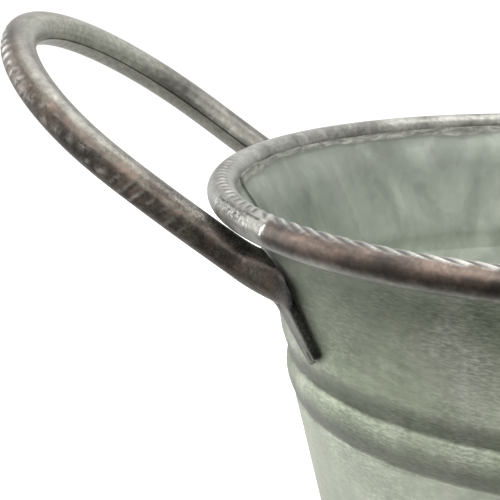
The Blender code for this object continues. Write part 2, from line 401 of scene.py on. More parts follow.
# %% The pan, folded round the foot
PAN_SHEET = 0.6 * MM
foot_radius = outline[-1][1] * MM
pan_line = [
    (foot_radius + 1.05 * MM + TAPER * 5.7 * MM, 6.0 * MM),
    (foot_radius + 1.05 * MM, 1.0 * MM),
    (foot_radius + 0.9 * MM, 0.25 * MM),
    (foot_radius + 0.4 * MM, 0.0),
    (foot_radius - 0.8 * MM, 0.0),
    (foot_radius - 1.35 * MM, 0.25 * MM),
    (foot_radius - 1.5 * MM, 1.0 * MM),
    (foot_radius - 1.6 * MM, 4.6 * MM),
    (foot_radius - 2.0 * MM, 5.2 * MM),
    (foot_radius - 2.8 * MM, 5.4 * MM),
    (foot_radius - 9.0 * MM, 5.5 * MM),
    (foot_radius - 10.0 * MM, 5.9 * MM),
    (foot_radius - 13.0 * MM, 5.9 * MM),
    (foot_radius - 14.0 * MM, 5.5 * MM),
    (20.0 * MM, 5.5 * MM),
    (1.0 * MM, 5.5 * MM),
]
pan = pull_ring([(radius, height + PAN_SHEET / 2) for radius, height in pan_line], 192, closed=True)
apply_modifier(pan, "SOLIDIFY", thickness=PAN_SHEET, offset=0.0)
settle(pan, "bottom_pan", 35)

# %% [markdown]
# ## The handles
#
# Each handle is sheet steel rolled to a 10 mm tube with its seam on the inside of the loop. The ends are
# squeezed flat and spot-welded to the wall. A bevelled curve gives a tube, but not the squeezed ends. The
# solid model already has the whole shape, in coarse steps, so a copy of its mesh is merged and turned
# back to four-sided faces, and Subdivision Surface rounds it.

# %% The loop's own measures
RISE = math.radians(35.1)  # slope of the loop's plane
LOOP_OUT = 81.0 * MM  # where a leg's middle starts, out from the axis
LOOP_DROP = -17.6 * MM  # and above the middle of the roll
STRAIGHT = 47.1 * MM  # length of the straight legs
ROUND_LENGTH = 50.5 * MM  # of the round end, along the slope
ROUND_SPREAD = 44.35 * MM  # half its width
LEG_SPREAD = 44.05 * MM  # from the middle of the bucket to a straight leg
LOOP_REACH = STRAIGHT + ROUND_LENGTH
LOOP_SAG = 1.5 * MM  # how far the loop's middle hangs below a straight line
TUBE = 4.95 * MM
ROUND_RUN = math.pi * math.hypot(ROUND_LENGTH, ROUND_SPREAD) / math.sqrt(2)


def loop_place(points):
    """Each point's run along the tube in mm, turn round it in degrees, and distance from its middle.

    The run starts at the near end. The turn is 0 on the outside of the loop, 90 on its upper side and 180
    on the inside, at the seam.
    """
    out = -points[:, 0] - LOOP_OUT
    up = points[:, 2] - RIM_HEIGHT - LOOP_DROP
    along = out * math.cos(RISE) + up * math.sin(RISE)
    share = np.clip(along / LOOP_REACH, 0, 1)
    sag = 4 * LOOP_SAG * share * (1 - share)
    above = (up + sag) * math.cos(RISE) - out * math.sin(RISE)
    past = along - STRAIGHT
    across = points[:, 1]
    round_turn = np.arctan2(past / ROUND_LENGTH, -across / ROUND_SPREAD)
    ring = np.hypot(past / ROUND_LENGTH, across / ROUND_SPREAD)
    local = np.hypot(np.sin(round_turn) * ROUND_LENGTH, np.cos(round_turn) * ROUND_SPREAD)
    outward = np.where(past > 0, (ring - 1) * local, np.abs(across) - LEG_SPREAD)
    run = np.where(past > 0, STRAIGHT + ROUND_RUN * round_turn / math.pi, along)
    run = np.where((past <= 0) & (across > 0), 2 * STRAIGHT + ROUND_RUN - along, run)
    return run / MM, np.degrees(np.arctan2(above, outward)), np.hypot(above, outward)


# %% A rounded copy of the left handle
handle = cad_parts["handle_left"].copy()
handle.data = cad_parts["handle_left"].data.copy()
handle.parent = None
for key in list(handle.keys()):
    if key.startswith("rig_"):
        del handle[key]
bpy.context.scene.collection.objects.link(handle)
take(handle)
bpy.ops.mesh.customdata_custom_splitnormals_clear()
edit(handle)
bpy.ops.mesh.select_all(action="SELECT")
bpy.ops.mesh.remove_doubles(threshold=0.00002)
bpy.ops.mesh.tris_convert_to_quads(face_threshold=math.radians(50), shape_threshold=math.radians(70))
bpy.ops.mesh.select_all(action="DESELECT")
bpy.context.tool_settings.mesh_select_mode = (False, True, False)
bpy.ops.mesh.edges_select_sharp(sharpness=math.radians(65))
bpy.ops.transform.edge_crease(value=0.9)
bpy.ops.object.mode_set(mode="OBJECT")
sides = [len(face.vertices) for face in handle.data.polygons]
print("handle:", sides.count(4), "quads", sides.count(3), "triangles")

# %% Rounding it, at its full thickness
apply_modifier(handle, "SUBSURF", levels=2, render_levels=2)
apply_modifier(handle, "DISPLACE", mid_level=0.0, strength=0.3 * MM)

# %% [markdown]
# The marks on the tube are only a millimetre long, so the tube is cut four times finer along its length,
# and left as it is round it.

# %% Finer steps along the tube
ends = np.empty(len(handle.data.edges) * 2, dtype=np.int32)
handle.data.edges.foreach_get("vertices", ends)
ends = ends.reshape(-1, 2)
places = corner_places(handle)
runs, _, _ = loop_place(places)
lengths = np.linalg.norm(places[ends[:, 0]] - places[ends[:, 1]], axis=1) / MM
lengthwise = np.abs(runs[ends[:, 0]] - runs[ends[:, 1]]) > 0.9 * lengths
middle_runs = runs[ends].mean(axis=1)
lengthwise &= (middle_runs > 12) & (middle_runs < 2 * STRAIGHT / MM + ROUND_RUN / MM - 12)
edit(handle, "EDGE")
bpy.ops.mesh.select_all(action="DESELECT")
bpy.ops.object.mode_set(mode="OBJECT")
handle.data.edges.foreach_set("select", lengthwise)
edit(handle, "EDGE")
bpy.ops.mesh.subdivide(number_cuts=3)
bpy.ops.object.mode_set(mode="OBJECT")
print("handle:", len(handle.data.polygons), "faces after", int(lengthwise.sum()), "edges were cut")

# %% [markdown]
# The roller left small slanting dents along the outside of the loop, 3.6 mm apart: sharp near the tip,
# battered and shallow towards the wall.

# %% Roller dents along the outside
DENT_PITCH = 3.6


def dent_wave(points):
    run, turn, _ = loop_place(points)
    phase = run / DENT_PITCH + turn / 110
    return (0.5 + 0.5 * np.cos(2 * np.pi * phase)) ** 2


def dent_band(points):
    run, turn, _ = loop_place(points)
    battered = 0.55 + 0.45 * np.sin(run * 0.37) * np.sin(run * 0.83 + 1)
    keep = np.clip(rise(run, 60, 100) + battered, 0, 1)
    return hump(turn, -10, 40) ** 0.6 * rise(run, 14, 40) * (1 - rise(run, 175, 210)) * keep


def dents(points):
    return dent_wave(points) * dent_band(points)


def dent_rims(points):
    """The sharp edge beside each dent, where rubbing went through the dark skin."""
    run, turn, _ = loop_place(points)
    phase = run / DENT_PITCH + turn / 110 - 0.28
    return (0.5 + 0.5 * np.cos(2 * np.pi * phase)) ** 4 * dent_band(points)


mark(handle, "Dents", dents)
mark(handle, "Dent rims", dent_rims)
press(handle, dents, -0.45 * MM)


def fine_ripple(points):
    """A faint ripple on the inside, beside the seam, round the tip."""
    run, turn, _ = loop_place(points)
    wave = 0.5 + 0.5 * np.cos(2 * np.pi * run / DENT_PITCH)
    return wave * hump(np.abs(turn), 150, 40) * hump(run, 150, 60)


press(handle, fine_ripple, -0.12 * MM)

# %% [markdown]
# Where the tube is squeezed flat, its two sides fold against each other and leave creases along the tab.


# %% Creases along the tabs
TAB_TURN = 48.8  # degrees round the bucket to the tab's lower end
TAB_DEPTH = 34.8  # mm from the middle of the roll down to it
TAB_LEAN = 0.5  # degrees that the tab's middle line turns for each mm up
TAB_DEGREE = 1.2  # mm across the tab for one degree of turn
TAB_HALF_WIDTH = 2.5  # mm at its lower end
TAB_FLARE = 0.23  # growth of the half width for each mm up


def tab_place(points):
    """How far below the middle of the roll, and how far sideways from the tab's middle line, in mm."""
    depth = (RIM_HEIGHT - points[:, 2]) / MM
    turn = np.abs(turns(points))
    turn = np.where(turn > 90, 180 - turn, turn)
    middle = TAB_TURN + (TAB_DEPTH - depth) * TAB_LEAN
    return depth, (turn - middle) * TAB_DEGREE


def creases(points):
    depth, across = tab_place(points)
    lines = hump(across, -0.6, 0.7) + 0.7 * hump(across, 1.4, 0.6)
    return lines * rise(depth, 20, 24)


def tab_side_shade(points):
    """The side of each tab that faces the front, painted black as the shade in the gap against the wall."""
    depth, across = tab_place(points)
    half_width = TAB_HALF_WIDTH + np.clip(TAB_DEPTH - depth, 0, 20) * TAB_FLARE
    return rise(-across, half_width * 0.45, half_width * 0.75) * rise(depth, 12, 18)


press(handle, creases, -0.35 * MM)
mark(handle, "Tab side shade", tab_side_shade)

# %% [markdown]
# The finish follows the tube, so each handle gets a UV map that runs along it and round it, in
# centimetres. An unwrap would cut the loop into islands. Places worked out from the loop's own measures
# keep it whole.


# %% A map along the tube
def map_tube(piece):
    """Gives each corner its place along and round the tube. A face on the seam counts on past one girth."""
    run, turn, _ = loop_place(corner_places(piece))
    places = np.stack([run / 10, np.radians(turn) * TUBE / MM / 10], 1)
    girth = math.tau * TUBE / MM / 10
    layer = piece.data.uv_layers.new(name="Along the tube")
    for face in piece.data.polygons:
        around = places[list(face.vertices), 1]
        for corner, vertex in zip(face.loop_indices, face.vertices):
            shift = girth if around.max() - places[vertex, 1] > girth / 2 else 0
            layer.data[corner].uv = (places[vertex, 0], places[vertex, 1] + shift)


while handle.data.uv_layers:
    handle.data.uv_layers.remove(handle.data.uv_layers[0])
map_tube(handle)
settle(handle, "left_handle", 50)
take(handle)
bpy.ops.object.duplicate()
other = bpy.context.object
bpy.ops.transform.rotate(value=math.pi, orient_axis="Z", center_override=(0, 0, 0))
settle(other, "right_handle", 50)

# %% [markdown]
# ## Finishes
#
# Colours are given as sRGB hex values, as a paint chart has them, and turned to linear light by one
# function. One more function adds a node: its settings, its values, and its links from other nodes'
# outputs.


# %% A colour and a node
def colour(code):
    channels = [int(code[i : i + 2], 16) / 255 for i in (1, 3, 5)]
    return (*((c / 12.92 if c < 0.04045 else ((c + 0.055) / 1.055) ** 2.4) for c in channels), 1.0)


def add(tree, kind, inputs=None, stops=(), out=0, **settings):
    """Adds a node and gives its output number out.

    inputs gives a value, or another node's output, for each socket by name or number. stops are the places
    on a colour ramp, each with a colour or a grey level.
    """
    node = tree.nodes.new("ShaderNode" + kind)
    for key, value in settings.items():
        setattr(node, key, value)
    for key, value in (inputs or {}).items():
        if isinstance(value, bpy.types.NodeSocket):
            tree.links.new(value, node.inputs[key])
        else:
            node.inputs[key].default_value = value
    for number, (place, tone) in enumerate(stops):
        if number >= 2:
            node.color_ramp.elements.new(place)
        stop = node.color_ramp.elements[number]
        stop.position = place
        stop.color = colour(tone) if isinstance(tone, str) else (tone, tone, tone, 1)
    return node.outputs[out]


def start_material(name, **values):
    """A material with its Principled shader, and constant values set on the shader's own sockets."""
    material = bpy.data.materials.new(name)
    material.use_nodes = True
    shader = material.node_tree.nodes["Principled BSDF"]
    for key, value in values.items():
        shader.inputs[key.replace("_", " ")].default_value = value
    return material, material.node_tree, shader


OVERLAY = {"data_type": "RGBA", "blend_type": "OVERLAY", "out": 2}
MULTIPLY = {"data_type": "RGBA", "blend_type": "MULTIPLY", "out": 2}
BLEND = {"data_type": "RGBA", "out": 2}
SMOOTH = {"interpolation_type": "SMOOTHSTEP"}


def toned(tree, base, share, pattern, stops):
    """The base, lightened and darkened by a pattern's tones. Mid-grey leaves it as it is."""
    tone = add(tree, "ValToRGB", {0: pattern}, stops)
    return add(tree, "Mix", {0: share, 6: base, 7: tone}, **OVERLAY)


# %% [markdown]
# Galvanised zinc: steel sheet dipped in zinc and then washed, which leaves a grey-green skin. The eye
# sees soft blocks of slightly different grey where the zinc set, upright runs where it drained, and a
# satin sheen. They could be painted by hand on a flat map, but noise stays sharp at any distance. It is
# laid out on the sheet as if it were rolled flat: millimetres round the wall, and millimetres up.


# %% The sheet rolled flat, and the patterns on it
SHEET_RADIUS = 84.0  # mm, a middle radius of the wall


def flat_sheet(tree):
    """The place on the wall as (mm round, mm up), and mm up alone. The pattern joins at the lap's edge."""
    place = add(tree, "TexCoord", out=3)
    place = add(tree, "Mapping", {"Vector": place, "Rotation": (0, 0, math.radians(90 - LAP_EDGE))})
    across, ahead, up = (add(tree, "SeparateXYZ", {0: place}, out=axis) for axis in range(3))
    angle = add(tree, "Math", {0: ahead, 1: across}, operation="ARCTAN2")
    round_mm = add(tree, "Math", {0: angle, 1: SHEET_RADIUS}, operation="MULTIPLY")
    height_mm = add(tree, "Math", {0: up, 1: 1000.0}, operation="MULTIPLY")
    return add(tree, "CombineXYZ", {0: round_mm, 1: height_mm}), height_mm


# Each pattern: width and height of its marks in mm, detail, roughness of the noise, distortion, and shift.
# Flecks finer than about half a millimetre would not show, so they are drawn that coarse.
ZINC_PATTERNS = {
    "blotches": ((26, 34), 4, 0.60, 0.5, 0),
    "warp": ((12, 14), 2, 0.50, 0.0, 31),
    "runs": ((2.6, 90), 5, 0.60, 0.0, 7),
    "flecks": ((1.9, 0.55), 3, 0.60, 0.2, 3),
    "crackle": ((5.0, 1.6), 4, 0.65, 0.6, 17),
    "fleck_places": ((30, 22), 2, 0.50, 0.0, 51),
    "wobble": ((16, 5), 4, 0.65, 0.3, 70),
    "waves": ((9, 16), 2, 0.50, 0.0, 11),
    "blooms": ((11, 14), 3, 0.45, 0.4, 83),
}


def noises(tree, vector, patterns):
    """Every pattern of a table, as noise on a vector in mm."""
    made = {}
    for name, (size, detail, roughness, distortion, shift) in patterns.items():
        scale = [1 / side for side in size] + [1.0] * (3 - len(size))
        moved = {"Vector": vector, "Location": (shift, shift, shift), "Scale": scale}
        inputs = {"Vector": add(tree, "Mapping", moved), "Scale": 1.0, "Detail": detail}
        inputs |= {"Roughness": roughness, "Distortion": distortion}
        made[name] = add(tree, "TexNoise", inputs)
    return made


# %% [markdown]
# Outside, the tone is painted light and shade by depth: painted shade under the rim, which shadows the
# wall, and on the lower half of each rib, which faces down, and painted highlight on the ribs'
# upward-facing tops, with the wall lighter below them. That is a tone for each depth below the rim, with a
# ragged edge.

# %% Painted light and shade by depth in millimetres
DEPTH_SHADING = (
    (4, 0.48), (12, 0.53), (16, 0.60), (21, 0.70), (27, 0.79), (32, 0.93), (37.5, 0.98),
    (39.3, 0.62), (41.5, 0.44), (44.4, 0.46), (45.8, 1.02), (48, 1.08), (50.5, 0.72), (52.5, 0.50),
    (55.3, 0.48), (57, 1.42), (60, 1.34), (90, 1.18),
)
INNER_DEPTH_SHADING = (
    (6, 1.00), (22, 1.35), (36, 1.70), (44, 1.90), (46.5, 1.00), (50, 1.10), (53.5, 1.90), (56, 1.80),
    (58, 1.10), (64, 1.50), (95, 1.50),
)
SHADING_DEPTH = 100.0
SHADING_RAGGED = 0.03  # how far the tone's edges wander, as a share of SHADING_DEPTH


def shading_depth(tree, height_mm, noise):
    """Depth below the rim as a share of SHADING_DEPTH, with a ragged edge."""
    depth = add(tree, "MapRange", {0: height_mm, 1: RIM_HEIGHT / MM, 2: RIM_HEIGHT / MM - SHADING_DEPTH})
    ragged = add(tree, "Math", {0: noise["wobble"], 1: 0.5}, operation="SUBTRACT")
    return add(tree, "Math", {0: ragged, 1: SHADING_RAGGED, 2: depth}, operation="MULTIPLY_ADD")


def shaded_by_depth(tree, base, depth, tones, brightest):
    """The base times the tone for its depth. A ramp ends at 1, so it holds shares of the brightest."""
    depth_tone = add(tree, "ValToRGB", {0: depth}, [(mm / SHADING_DEPTH, tone / brightest) for mm, tone in tones])
    base = add(tree, "Mix", {0: 1.0, 6: base, 7: depth_tone}, **MULTIPLY)
    return add(tree, "Mix", {0: 1.0, 6: base, 7: (brightest, brightest, brightest, 1.0)}, **MULTIPLY)


def blocks(tree, sheet, warp):
    """Soft upright blocks, about 9.5 by 17 mm, one grey level each."""
    bent = add(tree, "Mapping", {"Vector": sheet, "Scale": (1 / 9.5, 1 / 17.0, 1)})
    shift = add(tree, "CombineXYZ", {0: warp, 1: warp})
    bent = add(tree, "VectorMath", {0: bent, 1: shift}, operation="ADD")
    inputs = {"Vector": bent, "Scale": 1.0, "Smoothness": 0.25}
    cells = add(tree, "TexVoronoi", inputs, feature="SMOOTH_F1", distance="CHEBYCHEV", out=1)
    return add(tree, "SeparateXYZ", {0: cells})


# %% What every zinc finish ends with
def finish_zinc(tree, shader, base, noise, bump_height):
    """Satin, rougher in the paler blotches, with shallow waves in the sheet and flecks on its skin."""
    rough = add(tree, "MapRange", {0: noise["blotches"], 1: 0.3, 2: 0.7, 3: 0.36, 4: 0.48})
    bump = add(tree, "Bump", {"Strength": 0.25, "Distance": 0.0006, "Height": noise["waves"]})
    inputs = {"Strength": 0.3, "Distance": bump_height, "Height": noise["flecks"], "Normal": bump}
    tree.links.new(base, shader.inputs["Base Color"])
    tree.links.new(rough, shader.inputs["Roughness"])
    tree.links.new(add(tree, "Bump", inputs), shader.inputs["Normal"])


# %% Galvanised zinc outside: dipped and washed, a satin skin, with painted shade and highlight in bands
def zinc_with_painted_shading():
    material, tree, shader = start_material("galvanised_zinc_outside", Metallic=0.6)
    sheet, height_mm = flat_sheet(tree)
    noise = noises(tree, sheet, ZINC_PATTERNS)
    block = blocks(tree, sheet, noise["warp"])
    greys = ((0.30, "#7d8674"), (0.50, "#969e8b"), (0.68, "#b0b4a7"))
    base = add(tree, "ValToRGB", {0: noise["blotches"]}, greys)
    base = toned(tree, base, 0.3, block, ((0.2, 0.42), (0.8, 0.58)))
    base = toned(tree, base, 0.2, noise["runs"], ((0.36, 0.40), (0.64, 0.58)))
    share = add(tree, "MapRange", {0: noise["fleck_places"], 1: 0.40, 2: 0.60, 3: 0.15, 4: 0.8})
    base = toned(tree, base, share, noise["flecks"], ((0.34, 0.30), (0.50, 0.48), (0.68, 0.74)))
    base = toned(tree, base, 0.5, noise["crackle"], ((0.36, 0.40), (0.66, 0.62)))
    depth = shading_depth(tree, height_mm, noise)
    # Lighter and greyer from 45 mm below the rim, fully so from 57.5 mm down
    paler_share = add(tree, "MapRange", {0: depth, 1: 0.45, 2: 0.575, 3: 0.0, 4: 0.35})
    base = add(tree, "Mix", {0: paler_share, 6: base, 7: colour("#a1a29c")}, **BLEND)
    # Painted shade under the rim and on the ribs' lower halves, painted highlight on their tops
    base = shaded_by_depth(tree, base, depth, DEPTH_SHADING, 1.5)
    finish_zinc(tree, shader, base, noise, 0.00012)
    return material


# %% Galvanised zinc inside: as it came from the bath, which gives soft blocks and faint upright runs
def zinc_as_dipped():
    material, tree, shader = start_material("galvanised_zinc_inside", Metallic=0.6)
    sheet, height_mm = flat_sheet(tree)
    noise = noises(tree, sheet, ZINC_PATTERNS)
    block = blocks(tree, sheet, noise["warp"])
    greys = ((0.30, "#747a71"), (0.50, "#848a80"), (0.68, "#959a91"))
    base = add(tree, "ValToRGB", {0: noise["blotches"]}, greys)
    base = toned(tree, base, 0.4, block, ((0.2, 0.42), (0.8, 0.58)))
    base = toned(tree, base, 0.08, noise["runs"], ((0.36, 0.42), (0.64, 0.56)))
    base = toned(tree, base, 0.45, noise["blooms"], ((0.49, 0.44), (0.53, 0.56)))
    # The rim's finish laps a few millimetres down the inside and ends in a ragged, slightly dirty edge
    ragged = add(tree, "Math", {0: noise["wobble"], 1: 6.0, 2: height_mm}, operation="MULTIPLY_ADD")
    finish_end = RIM_HEIGHT / MM + 1.6
    lapped = add(tree, "MapRange", {0: ragged, 1: finish_end - 0.4, 2: finish_end + 0.3})
    dirty = add(tree, "MapRange", {0: ragged, 1: finish_end - 1.6, 2: finish_end - 0.3, 3: 0.0, 4: 0.5})
    base = add(tree, "Mix", {0: dirty, 6: base, 7: colour("#5e5f57")}, **BLEND)
    silvers = ((0.38, "#767670"), (0.50, "#8f8f88"), (0.64, "#b0b0a8"))
    tinned = add(tree, "ValToRGB", {0: noise["crackle"]}, silvers)
    base = add(tree, "Mix", {0: lapped, 6: base, 7: tinned}, **BLEND)
    # Painted light and shade by depth: darker near the rim, lighter lower down, with painted highlight and
    # shade across the ribs
    base = shaded_by_depth(tree, base, shading_depth(tree, height_mm, noise), INNER_DEPTH_SHADING, 2.0)
    finish_zinc(tree, shader, base, noise, 0.00003)
    return material


# %% Galvanised zinc on the bottom: the same bath on a flat sheet, so the pattern lies flat
def zinc_on_bottom():
    material, tree, shader = start_material("galvanised_zinc_bottom", Metallic=0.6)
    place = add(tree, "TexCoord", out=3)
    sheet = add(tree, "VectorMath", {0: place, 1: (1000.0, 1000.0, 1000.0)}, operation="MULTIPLY")
    noise = noises(tree, sheet, ZINC_PATTERNS)
    greys = ((0.30, "#6d746a"), (0.50, "#7f857b"), (0.68, "#94998f"))
    base = add(tree, "ValToRGB", {0: noise["blotches"]}, greys)
    base = toned(tree, base, 0.5, blocks(tree, sheet, noise["warp"]), ((0.2, 0.42), (0.8, 0.58)))
    base = toned(tree, base, 0.4, noise["crackle"], ((0.36, 0.40), (0.66, 0.62)))
    finish_zinc(tree, shader, base, noise, 0.00005)
    return material


zinc_outside = zinc_with_painted_shading()
zinc_inside = zinc_as_dipped()
zinc_bottom = zinc_on_bottom()

# %% [markdown]
# Bronze-brown patina: the rim and handles are darkened chemically and then rubbed back, so that brown and
# grey lie in clouds and the raised places show bare silver. A thin lacquer over it keeps its highlights
# neutral. Both tones are made as clouds, and the places and the marks on the mesh choose between them.

# %% The patina's patterns
# Sizes in mm. Grain finer than about 0.7 mm would not show, so it is drawn that coarse.
PATINA_PATTERNS = {
    "clouds": ((10, 10, 10), 4, 0.62, 0.4, 0),
    "rubbing": ((5, 5, 5), 4, 0.65, 0.3, 9),
    "flaking": ((1.3, 1.3, 1.3), 4, 0.7, 0.8, 57),
    "specks": ((1.4, 1.4, 1.4), 3, 0.60, 0.0, 21),
    "grain": ((0.7, 0.7, 0.7), 2, 0.60, 0.0, 33),
}
TUBE_PATTERNS = {"scratches": ((28, 0.7), 4, 0.6, 0.0, 5), "streaks": ((14, 2.2), 3, 0.6, 0.2, 41)}


def start_patina(name, silvers):
    material, tree, shader = start_material(name, Metallic=0.75, Coat_Weight=0.35, Coat_Roughness=0.4)
    place = add(tree, "TexCoord", out=3)
    mm = add(tree, "VectorMath", {0: place, 1: (1000.0, 1000.0, 1000.0)}, operation="MULTIPLY")
    noise = noises(tree, mm, PATINA_PATTERNS)
    browns = ((0.32, "#322b26"), (0.50, "#4b4038"), (0.70, "#6c5c51"))
    brown = add(tree, "ValToRGB", {0: noise["clouds"]}, browns)
    silver = add(tree, "ValToRGB", {0: noise["clouds"]}, list(zip((0.34, 0.52, 0.70), silvers)))
    return material, tree, shader, place, noise, brown, silver


def finish_patina(tree, shader, base, noise, lines, paler_share):
    """Scratches along the tube and a fine mottle, and smoother metal where it is paler, from wear and from
    painted light.
    """
    base = toned(tree, base, 0.45, lines["scratches"], ((0.38, 0.40), (0.64, 0.60)))
    base = toned(tree, base, 0.5, noise["specks"], ((0.38, 0.32), (0.66, 0.66)))
    rough = add(tree, "MapRange", {0: noise["clouds"], 1: 0.3, 2: 0.7, 3: 0.32, 4: 0.44})
    rough = add(tree, "Math", {0: paler_share, 1: -0.06, 2: rough}, operation="MULTIPLY_ADD")
    bump = add(tree, "Bump", {"Strength": 0.3, "Distance": 0.0001, "Height": noise["specks"]})
    inputs = {"Strength": 0.2, "Distance": 0.00004, "Height": noise["grain"], "Normal": bump}
    bump = add(tree, "Bump", inputs)
    tree.links.new(base, shader.inputs["Base Color"])
    tree.links.new(rough, shader.inputs["Roughness"])
    tree.links.new(bump, shader.inputs["Normal"])


# %% Patina on the rim: silver where it is rubbed past the strip's edge, brown at the front, bright ridges, a paler underside as painted light
def patina_on_rim():
    silvers = ("#6e6e68", "#888881", "#a2a29b")
    material, tree, shader, place, noise, brown, silver = start_patina("bronze_patina_rim", silvers)
    across, ahead, up = (add(tree, "SeparateXYZ", {0: place}, out=axis) for axis in range(3))
    left = add(tree, "Math", {0: across, 1: -1.0}, operation="MULTIPLY")
    front = add(tree, "Math", {0: ahead, 1: -1.0}, operation="MULTIPLY")
    turn = add(tree, "Math", {0: left, 1: front}, operation="ARCTAN2")
    along = add(tree, "Math", {0: turn, 1: RIM_RADIUS / MM}, operation="MULTIPLY")
    height = add(tree, "Math", {0: up, 1: 1000.0}, operation="MULTIPLY")
    lines = noises(tree, add(tree, "CombineXYZ", {0: along, 1: height}), TUBE_PATTERNS)
    # Brown lies on the outer face of the front arc, up to the strip's edge, and fades out on the right; the
    # roll's underside is paler grey as painted light from below
    from_axis = add(tree, "CombineXYZ", {0: across, 1: ahead})
    from_axis = add(tree, "VectorMath", {0: from_axis}, out=1, operation="LENGTH")
    outwards = add(tree, "Math", {0: from_axis, 1: RIM_RADIUS}, operation="SUBTRACT")
    above = add(tree, "Math", {0: up, 1: RIM_HEIGHT}, operation="SUBTRACT")
    tilt = add(tree, "Math", {0: above, 1: outwards}, operation="ARCTAN2")
    tilt = add(tree, "Math", {0: noise["rubbing"], 1: 0.9, 2: tilt}, operation="MULTIPLY_ADD")
    upper = add(tree, "MapRange", {0: tilt, 1: 1.45, 2: 1.75, 3: 0.0, 4: 0.8})
    # Painted light: the roll's underside paler grey, as if lit by the table below
    roll_underside_light = add(tree, "MapRange", {0: tilt, 1: 0.3, 2: -0.1, 3: 0.0, 4: 0.75})
    faded = add(tree, "Math", {0: noise["rubbing"], 1: 0.05, 2: turn}, operation="MULTIPLY_ADD")
    edge = math.radians(STRIP_TURN) + 0.025
    past = add(tree, "MapRange", {0: faded, 1: edge - 0.015, 2: edge + 0.012})
    right = add(tree, "MapRange", {0: turn, 1: math.radians(-50), 2: math.radians(-80)})
    wear_and_painted_light = add(tree, "Math", {0: past, 1: right}, operation="MAXIMUM")
    wear_and_painted_light = add(tree, "Math", {0: wear_and_painted_light, 1: upper}, operation="MAXIMUM")
    wear_and_painted_light = add(tree, "Math", {0: wear_and_painted_light, 1: roll_underside_light}, operation="MAXIMUM")
    patchy = add(tree, "MapRange", {0: noise["rubbing"], 1: 0.36, 2: 0.56, 3: 0.75, 4: 1.0})
    wear_and_painted_light = add(tree, "Math", {0: wear_and_painted_light, 1: patchy}, operation="MULTIPLY")
    ridges_mark = add(tree, "Attribute", attribute_name="Ridges", out=2)
    bright = add(tree, "MapRange", {0: ridges_mark, 1: 0.5, 2: 0.9, 3: 0.0, 4: 0.85})
    wear_and_painted_light = add(tree, "Math", {0: wear_and_painted_light, 1: bright}, operation="MAXIMUM")
    base = add(tree, "Mix", {0: wear_and_painted_light, 6: brown, 7: silver}, **BLEND)
    # The ridges' tops at the front: rubbed bare, and painted near white as highlight
    front_ridge_wear_and_highlight = add(tree, "MapRange", {0: past, 3: 0.5, 4: 0.0})
    front_ridge_wear_and_highlight = add(tree, "Math", {0: front_ridge_wear_and_highlight, 1: bright}, operation="MULTIPLY")
    base = add(tree, "Mix", {0: front_ridge_wear_and_highlight, 6: base, 7: colour("#cfcfc8")}, **BLEND)
    # Painted highlight along the roll's outer shoulder and painted shade just below it, at the front
    place_round = add(tree, "MapRange", {0: tilt, 1: -1.0, 2: 2.0})
    shoulder_light_and_shade = ((0.25, 0.50), (0.45, 0.34), (0.57, 0.50), (0.68, 0.70), (0.80, 0.50))
    at_front = add(tree, "MapRange", {0: past, 3: 0.9, 4: 0.0})
    base = toned(tree, base, at_front, place_round, shoulder_light_and_shade)
    # Dark dirt between the ridges and in the two scratches
    grooves_mark = add(tree, "Attribute", attribute_name="Grooves", out=2)
    scratch_mark = add(tree, "Attribute", attribute_name="Scratches", out=2)
    dirt = add(tree, "Math", {0: grooves_mark, 1: scratch_mark}, operation="MAXIMUM")
    dirt = add(tree, "MapRange", {0: dirt, 1: 0.2, 2: 0.7, 3: 0.0, 4: 0.9})
    base = add(tree, "Mix", {0: dirt, 6: base, 7: colour("#35322d")}, **BLEND)
    # White bare patches beside the strip's edge, and the bright chip
    near = add(tree, "Attribute", attribute_name="Bare patches", out=2)
    patches = add(tree, "MapRange", {0: noise["flaking"], 1: 0.46, 2: 0.58, 3: 0.0, 4: 0.75})
    patches = add(tree, "Math", {0: patches, 1: near}, operation="MULTIPLY")
    base = add(tree, "Mix", {0: patches, 6: base, 7: colour("#dcdcd6")}, **BLEND)
    chip_mark = add(tree, "Attribute", attribute_name="Chip", out=2)
    base = add(tree, "Mix", {0: chip_mark, 6: base, 7: colour("#fbfbf8")}, **BLEND)
    finish_patina(tree, shader, base, noise, lines, wear_and_painted_light)
    return material
